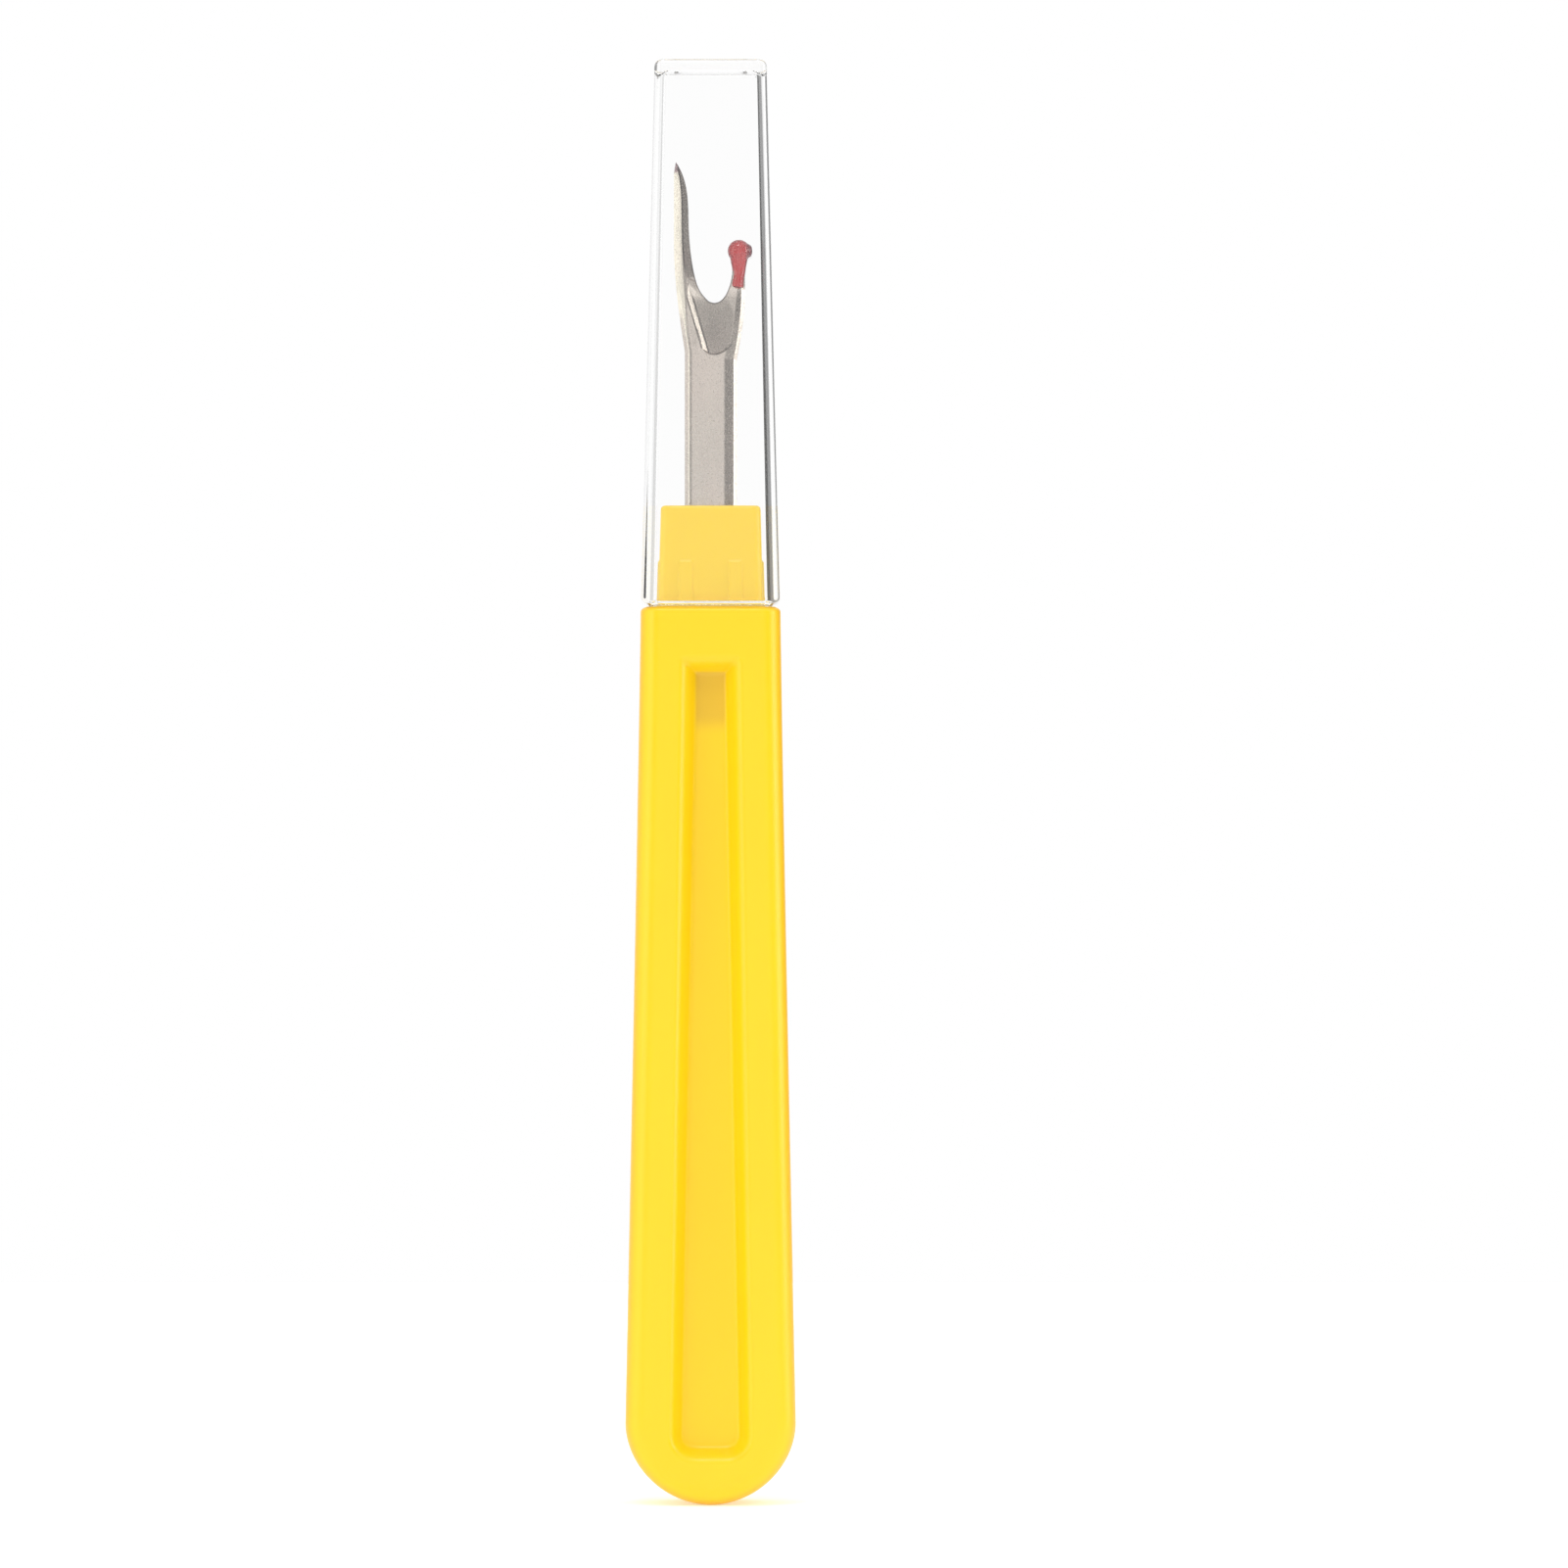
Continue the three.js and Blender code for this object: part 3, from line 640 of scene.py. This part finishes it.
def make_ball(material):
    """The ball guard, deeper at its foot to wrap the prong, with its moulding gate's stub on one side."""
    turn = np.linspace(0, 2 * math.pi, BALL_STEPS, endpoint=False)
    middle_of_foot = (BALL_CENTRE_X, 0, BALL_FOOT_Z)
    rings = [np.tile(middle_of_foot, (BALL_STEPS, 1))]
    centre_z = BALL_TOP_Z - BALL_RADIUS
    for radius, z in ball_profile():
        deep = 1 + BALL_FOOT["depth"] * (1 - smoothstep(111.3, 113.3, z))
        lift = BALL_FOOT["lift"] * (1 - smoothstep(111.3, 112.0, z))
        lean = BALL_FOOT["lean"] * (1 - smoothstep(111.3, 112.9, z))
        away = np.hypot(turn - 2 * math.pi * (turn > math.pi), (z - centre_z) / BALL_RADIUS)
        stub = GATE_STUB["height"] * (1 - smoothstep(*GATE_STUB["fade"], away))
        x = BALL_CENTRE_X - lean + (radius + stub) * np.cos(turn)
        y = radius * deep * np.sin(turn)
        rings.append(np.stack([x, y, z - lift * np.cos(turn)], axis=1))
    vertices, faces = loft(rings, close_start=False, close_end=False)
    return make_piece("ball_guard_bead", vertices, faces, material, "ripper", "ball_guard", sharp_degrees=60)


# ---- Cap ----
CAP_WALL_RINGS = 14


def cap_ring(half, depth, corner, z, turn=90):
    """A level ring of the cap, flat on four sides. A corner's arc turns by an angle, then meets the face."""
    angle = np.linspace(0, math.radians(turn), 13)
    corner_x = half - corner + corner * np.cos(angle)
    corner_y = depth + corner * (np.sin(angle) - math.sin(angle[-1]))
    side_y = np.linspace(0, corner_y[0], 5)[:-1]
    face_x = np.linspace(corner_x[-1], 0, 9)[1:]
    x = np.concatenate([np.full(4, half), corner_x, face_x])
    y = np.concatenate([side_y, corner_y, np.full(8, depth)])
    return full_ring(np.stack([x, y, np.full(len(x), z)], axis=1))


def cap_share(z):
    """Zero at the cap's mouth and one at its top."""
    return (z - CAP_LOW.z) / (CAP_HIGH.z - CAP_LOW.z)


def outer_cap_ring(z, inset=0.0, depth_share=0.75):
    """A ring of the cap's outside, drawn in at its sides by an inset and front to back by a share of it."""
    share = cap_share(z)
    half = blend(CAP_MOUTH_HALF, CAP_TOP_HALF, share)
    depth = blend(CAP_MOUTH_HALF_DEPTH, CAP_TOP_HALF_DEPTH, share)
    corner = blend(CAP_CORNER["mouth"], CAP_CORNER["top"], share)
    return cap_ring(half - inset, depth - depth_share * inset, max(corner - inset, CAP_CORNER["least"]), z)


def inner_cap_ring(z, inset=0.0, depth_share=1.0, extra_corner=0.0):
    """A ring of the cap's cavity, drawn in likewise. A negative inset flares it."""
    cavity = CAP_CAVITY
    share = cap_share(z)
    half = blend(cavity["mouth"], cavity["top"], share)
    depth = blend(cavity["mouth_depth"], cavity["top_depth"], share)
    corner = cavity["corner"] + extra_corner
    return cap_ring(half - inset, depth - depth_share * inset, corner, z, cavity["corner_turn"])


def quarter_turn(reach, steps=8):
    """Pairs that walk round a quarter circle: how far along, and how far in."""
    angles = np.linspace(0, math.pi / 2, steps + 1)
    return [(reach * math.sin(angle), reach * (1 - math.cos(angle))) for angle in angles]


def cap_rings():
    """One skin: over the top, down the outside, round the mouth, up the cavity and in to its roof."""
    rings = [outer_cap_ring(CAP_HIGH.z - dip, inset) for dip, inset in CAP_DIMPLE]
    top_start = CAP_HIGH.z - CAP_TOP_EDGE["outer"]
    for up, inset in reversed(quarter_turn(CAP_TOP_EDGE["outer"])):
        rings.append(outer_cap_ring(top_start + up, inset))
    rim_top = CAP_LOW.z + CAP_RIM["rise"]
    rings += [outer_cap_ring(z) for z in np.linspace(top_start, rim_top, CAP_WALL_RINGS)[1:]]
    for down, inset in quarter_turn(CAP_RIM["run"])[1:]:
        rings.append(outer_cap_ring(rim_top - down, inset, CAP_RIM["depth_share"]))
    lead = CAP_LEAD_IN["run"]
    side_share = CAP_LEAD_IN["side_share"]
    for up, out in ((0, 1), (0.06, 0.98), (0.94, 0.06), (1.02, 0.01), (1.12, 0)):
        flare = -side_share * lead * out
        extra_corner = CAP_LEAD_IN["corner"] * out
        rings.append(inner_cap_ring(CAP_LOW.z + lead * up, flare, 1 / side_share, extra_corner))
    roof_start = CAP_HIGH.z - CAP_CAVITY["roof"] - CAP_TOP_EDGE["inner"]
    rings += [inner_cap_ring(z) for z in np.linspace(CAP_LOW.z + lead * 1.3, roof_start, CAP_WALL_RINGS)]
    for up, inset in quarter_turn(CAP_TOP_EDGE["inner"])[1:]:
        rings.append(inner_cap_ring(roof_start + up, inset, CAP_TOP_EDGE["inner_depth_share"]))
    return rings


def make_cap(material):
    vertices, faces = loft(cap_rings())
    return make_piece("cap_clear_moulding", vertices, faces, material, "cap", "clear_cap", sharp_degrees=33)


# ---- Node helpers ----


def add_node(tree, kind, inputs=None, **settings):
    """A new node with its settings, whose inputs are linked where a socket is given."""
    node = tree.nodes.new(kind)
    for name, value in settings.items():
        setattr(node, name, value)
    for name, value in (inputs or {}).items():
        if isinstance(value, bpy.types.NodeSocket):
            tree.links.new(value, node.inputs[name])
        else:
            node.inputs[name].default_value = value
    return node


def maths(tree, operation, first, second=0.0):
    return add_node(tree, "ShaderNodeMath", {0: first, 1: second}, operation=operation).outputs[0]


def product(tree, *values):
    """All the values multiplied together."""
    result = values[0]
    for value in values[1:]:
        result = maths(tree, "MULTIPLY", result, value)
    return result


def noise(tree, vector, scale, detail=3.0, stretch=(1, 1, 1)):
    """Noise at a scale per metre along the object's own axes."""
    mapped = add_node(tree, "ShaderNodeMapping", {"Vector": vector, "Scale": stretch}).outputs[0]
    texture = add_node(tree, "ShaderNodeTexNoise", {"Vector": mapped, "Scale": scale, "Detail": detail})
    return texture.outputs["Fac"]


def remap(tree, value, low, high, to_low=0.0, to_high=1.0):
    """A soft step from one value to another as the input goes from low to high."""
    inputs = {"Value": value, "From Min": low, "From Max": high, "To Min": to_low, "To Max": to_high}
    return add_node(tree, "ShaderNodeMapRange", inputs, interpolation_type="SMOOTHSTEP").outputs[0]


def past(tree, value, limits):
    """One beyond soft limits given in millimetres."""
    return remap(tree, value, limits[0] * MM, limits[1] * MM)


def within(tree, value, limits):
    """One short of soft limits given in millimetres."""
    return remap(tree, value, limits[0] * MM, limits[1] * MM, 1, 0)


def zone(tree, place, limits):
    """One inside a block with soft sides, centred on the handle's axis."""
    x, y, z = add_node(tree, "ShaderNodeSeparateXYZ", {0: place}).outputs
    in_depth = within(tree, maths(tree, "ABSOLUTE", y), limits["depth"])
    in_width = within(tree, maths(tree, "ABSOLUTE", x), limits["half_width"])
    return product(tree, in_depth, in_width, past(tree, z, limits["foot"]), within(tree, z, limits["top"]))


def mix_colour(tree, share, first, second):
    return add_node(tree, "ShaderNodeMix", {0: share, 6: first, 7: second}, data_type="RGBA").outputs[2]


def facing_away(tree):
    """Zero where the surface faces the viewer and one where it is seen edge on."""
    return add_node(tree, "ShaderNodeLayerWeight", {"Blend": 0.5}).outputs["Facing"]


def colour(red, green, blue):
    """A linear colour from an sRGB one of 0 to 255."""
    channels = (value / 255 for value in (red, green, blue))
    linear = [c / 12.92 if c <= 0.04045 else ((c + 0.055) / 1.055) ** 2.4 for c in channels]
    return (*linear, 1.0)


def new_material(name):
    material = bpy.data.materials.new(name)
    material.use_nodes = True
    tree = material.node_tree
    place = add_node(tree, "ShaderNodeTexCoord").outputs["Object"]
    return material, tree, tree.nodes["Principled BSDF"], place


def set_input(tree, shader, name, value):
    if isinstance(value, bpy.types.NodeSocket):
        tree.links.new(value, shader.inputs[name])
    else:
        shader.inputs[name].default_value = value


def bump(tree, height, distance, strength=1.0):
    inputs = {"Height": height, "Distance": distance, "Strength": strength}
    return add_node(tree, "ShaderNodeBump", inputs).outputs[0]


# ---- Materials ----


def handle_plastic():
    """Yellow, slightly translucent plastic with painted orange shade towards its outline where it is seen
    edge on, the tang a shadow in the recess.
    """
    material, tree, shader, place = new_material("yellow_handle_plastic")
    z = add_node(tree, "ShaderNodeSeparateXYZ", {0: place}).outputs[2]
    cloud = noise(tree, place, 160, 2, (1, 1, 0.3))
    base = mix_colour(tree, cloud, colour(250, 208, 12), colour(252, 214, 20))
    base = mix_colour(tree, product(tree, zone(tree, place, TANG_SHADOW), 0.9), base, colour(232, 188, 40))
    # Painted shade: orange towards the outline where the surface is seen edge on, kept off the recess walls
    # and off the neck above the body.
    outside = maths(tree, "SUBTRACT", within(tree, z, HANDLE_BODY_TOP), zone(tree, place, RECESS_WALLS))
    edge_shade = product(tree, outside, remap(tree, facing_away(tree), 0.15, 0.65, 0, 0.6))
    base = mix_colour(tree, edge_shade, base, colour(240, 176, 14))
    set_input(tree, shader, "Base Color", base)
    set_input(tree, shader, "Roughness", remap(tree, noise(tree, place, 700, 3), 0.3, 0.75, 0.28, 0.35))
    set_input(tree, shader, "IOR", 1.5)
    set_input(tree, shader, "Subsurface Weight", 0.12)
    set_input(tree, shader, "Subsurface Radius", (1.0, 0.7, 0.1))
    set_input(tree, shader, "Subsurface Scale", 0.0008)
    set_input(tree, shader, "Normal", bump(tree, noise(tree, place, 2500, 2), 0.000003, 0.5))
    return material


def blade_steel():
    """Satin tumbled steel: a fine warm grain drawn out along the blade, painted shade in its creases and a
    tinted tip.
    """
    material, tree, shader, place = new_material("satin_blade_steel")
    z = add_node(tree, "ShaderNodeSeparateXYZ", {0: place}).outputs[2]
    speckle = noise(tree, place, 6500, 2, (1, 1, 0.8))
    streak = noise(tree, place, 1500, 3, (1, 1, 0.12))
    patch = remap(tree, noise(tree, place, 330, 2, (1, 1, 0.5)), 0.35, 0.65)
    base = mix_colour(tree, patch, colour(211, 200, 191), colour(206, 197, 188))
    base = mix_colour(tree, remap(tree, speckle, 0.3, 0.7, 0, 0.13), base, colour(160, 147, 138))
    base = mix_colour(tree, remap(tree, streak, 0.4, 0.7, 0, 0.15), base, colour(214, 206, 196))
    tinted = product(tree, past(tree, z, TIP_TINT), 0.8)
    base = mix_colour(tree, tinted, base, colour(150, 122, 130))
    # Painted shade stored on the blade darkens its creases, edges and sunk faces.
    painted_shade = add_node(tree, "ShaderNodeAttribute", attribute_name="painted_shade").outputs["Fac"]
    base = mix_colour(tree, product(tree, painted_shade, 0.9), base, colour(50, 43, 41))
    set_input(tree, shader, "Base Color", base)
    set_input(tree, shader, "Metallic", 1.0)
    set_input(tree, shader, "Roughness", remap(tree, speckle, 0.3, 0.7, 0.22, 0.28))
    return material


def ball_plastic():
    """Coral-red glossy plastic with a soft glow, with painted shade darkening its outline and its right side
    round the gate's stub.
    """
    material, tree, shader, place = new_material("coral_guard_plastic")
    x = add_node(tree, "ShaderNodeSeparateXYZ", {0: place}).outputs[0]
    cloud = noise(tree, place, 700, 3)
    base = mix_colour(tree, cloud, colour(170, 32, 37), colour(188, 46, 49))
    # Painted shade: darker where the ball is seen edge on.
    base = mix_colour(tree, remap(tree, facing_away(tree), 0.15, 0.75, 0, 0.8), base, colour(120, 20, 28))
    # Painted shade on the ball's right side, round the gate's stub.
    base = mix_colour(tree, product(tree, past(tree, x, BALL_RIGHT_SHADE), 0.85), base, colour(86, 22, 34))
    set_input(tree, shader, "Base Color", base)
    set_input(tree, shader, "Roughness", remap(tree, cloud, 0.3, 0.7, 0.08, 0.16))
    set_input(tree, shader, "Subsurface Weight", 0.2)
    set_input(tree, shader, "Subsurface Radius", (1.0, 0.25, 0.2))
    set_input(tree, shader, "Subsurface Scale", 0.0004)
    set_input(tree, shader, "Normal", bump(tree, cloud, 0.00001, 0.3))
    return material


def cap_plastic():
    """Clear polystyrene that lets light reach what is under it."""
    material, tree, shader, place = new_material("clear_cap_plastic")
    flow = noise(tree, place, 300, 2, (1, 1, 0.1))
    set_input(tree, shader, "Base Color", (1, 1, 1, 1))
    set_input(tree, shader, "Roughness", remap(tree, noise(tree, place, 1500, 2), 0.45, 0.8, 0.0, 0.05))
    set_input(tree, shader, "IOR", 1.58)
    set_input(tree, shader, "Transmission Weight", 1.0)
    set_input(tree, shader, "Normal", bump(tree, flow, 0.00001, 0.25))
    path = add_node(tree, "ShaderNodeLightPath")
    unseen = maths(tree, "MAXIMUM", path.outputs["Is Shadow Ray"], path.outputs["Is Diffuse Ray"])
    clear = add_node(tree, "ShaderNodeBsdfTransparent", {"Color": (0.96, 0.96, 0.965, 1)})
    mixed = add_node(tree, "ShaderNodeMixShader", {0: unseen, 1: shader.outputs[0], 2: clear.outputs[0]})
    tree.links.new(mixed.outputs[0], tree.nodes["Material Output"].inputs["Surface"])
    return material


def floor_material():
    """Plain near-white floor that stays bright under soft light."""
    material, tree, shader, _ = new_material("pale_floor")
    set_input(tree, shader, "Base Color", (0.84, 0.84, 0.84, 1))
    set_input(tree, shader, "Roughness", 0.9)
    set_input(tree, shader, "Specular IOR Level", 0.0)
    set_input(tree, shader, "Emission Color", (1, 1, 1, 1))
    set_input(tree, shader, "Emission Strength", 0.36)
    return material


# ---- Stage ----

# Upright panels round the object: from and to in degrees right of the camera, softness, then brightness.
# They fade in at the foot and out at the top, both as the upward part of the direction.
PANELS = {
    "right_grey_card": (36, 57, 12, (0.2, 0.2, 0.2)),
    "right_light_strip": (69, 88, 5, (3.2, 3.2, 3.1)),
    "right_dim_card": (112, 148, 10, (0.3, 0.3, 0.3)),
    "right_black_flag": (108, 125, 7, (0.08, 0.08, 0.08)),
    "left_grey_card": (-36, -20, 5, (0.35, 0.35, 0.35)),
    "left_soft_box": (-68, -45, 6, (1.9, 2.0, 1.85)),
    "left_far_card": (-130, -112, 8, (0.72, 0.72, 0.72)),
}
PANEL_TOP = (0.4, 0.75)
PANEL_FOOT = (-0.17, -0.12)
SURROUND = (0.98, 0.98, 0.98, 1)
OVERHEAD_LEFT = (0.9, 0.9, 0.9, 1)
OVERHEAD_RIGHT = (1.15, 1.15, 1.15, 1)


def make_world():
    """A white studio with cards and strips that draw the object's edges; the camera sees plain white."""
    world = bpy.data.worlds.new("studio")
    bpy.context.scene.world = world
    world.use_nodes = True
    tree = world.node_tree
    tree.nodes.clear()
    direction = add_node(tree, "ShaderNodeTexCoord").outputs["Generated"]
    x, y, z = add_node(tree, "ShaderNodeSeparateXYZ", {0: direction}).outputs
    towards_camera = maths(tree, "MULTIPLY", y, -1.0)
    turn = maths(tree, "DEGREES", maths(tree, "ARCTAN2", x, towards_camera))
    above_foot = remap(tree, z, *PANEL_FOOT)
    studio = SURROUND
    for start, end, soft, level in PANELS.values():
        risen = remap(tree, turn, start - soft, start)
        not_past = remap(tree, turn, end, end + soft, 1, 0)
        studio = mix_colour(tree, product(tree, risen, not_past, above_foot), studio, (*level, 1))
    overhead = mix_colour(tree, remap(tree, x, -1, 1), OVERHEAD_LEFT, OVERHEAD_RIGHT)
    studio = mix_colour(tree, remap(tree, z, *PANEL_TOP), studio, overhead)
    seen = add_node(tree, "ShaderNodeBackground", {0: (1, 1, 1, 1), 1: 1.0})
    lit = add_node(tree, "ShaderNodeBackground", {0: studio, 1: 1.0})
    path = add_node(tree, "ShaderNodeLightPath")
    to_camera = path.outputs["Is Camera Ray"]
    mixed = add_node(tree, "ShaderNodeMixShader", {0: to_camera, 1: lit.outputs[0], 2: seen.outputs[0]})
    output = add_node(tree, "ShaderNodeOutputWorld")
    tree.links.new(mixed.outputs[0], output.inputs["Surface"])


def make_floor():
    half = FLOOR_HALF
    corners = [(-half, -half, 0), (half, -half, 0), (half, half, 0), (-half, half, 0)]
    mesh = bpy.data.meshes.new("floor")
    mesh.from_pydata(corners, [], [(0, 1, 2, 3)])
    mesh.materials.append(floor_material())
    floor = bpy.data.objects.new("floor", mesh)
    bpy.context.scene.collection.objects.link(floor)


def make_light(name, place, target, size, power):
    light = bpy.data.lights.new(name, "AREA")
    light.shape = "RECTANGLE"
    light.size, light.size_y = size
    light.energy = power
    lamp = bpy.data.objects.new(name, light)
    lamp.location = place
    lamp.rotation_euler = (Vector(target) - Vector(place)).to_track_quat("-Z", "Y").to_euler()
    bpy.context.scene.collection.objects.link(lamp)


def make_camera():
    """Square to the object's front, about level with its middle and a little to its right."""
    centre = (cad_low + cad_high) / 2
    camera_data = bpy.data.cameras.new("camera")
    camera_data.sensor_width = SENSOR_WIDTH
    camera_data.lens = LENS
    distance = (cad_high.z - cad_low.z) * FRAME_PER_HEIGHT * LENS / SENSOR_WIDTH
    camera = bpy.data.objects.new("camera", camera_data)
    camera.location = Vector((centre.x, -distance, centre.z)) + CAMERA_SHIFT
    camera.rotation_euler = (math.radians(90), 0, 0)
    bpy.context.scene.collection.objects.link(camera)
    bpy.context.scene.camera = camera


handle = make_handle(handle_plastic())
blade = make_blade(blade_steel())
ball = make_ball(ball_plastic())
cap = make_cap(cap_plastic())

make_world()
make_floor()
make_light("highlight_lamp", (-0.14, -0.45, 1.02), (0, 0, 0.07), (0.25, 0.25), 1.6)
make_camera()
bpy.context.scene.view_settings.view_transform = "Standard"
bpy.context.scene.cycles.max_bounces = 24
bpy.context.scene.cycles.glossy_bounces = 16
bpy.context.scene.cycles.transmission_bounces = 24
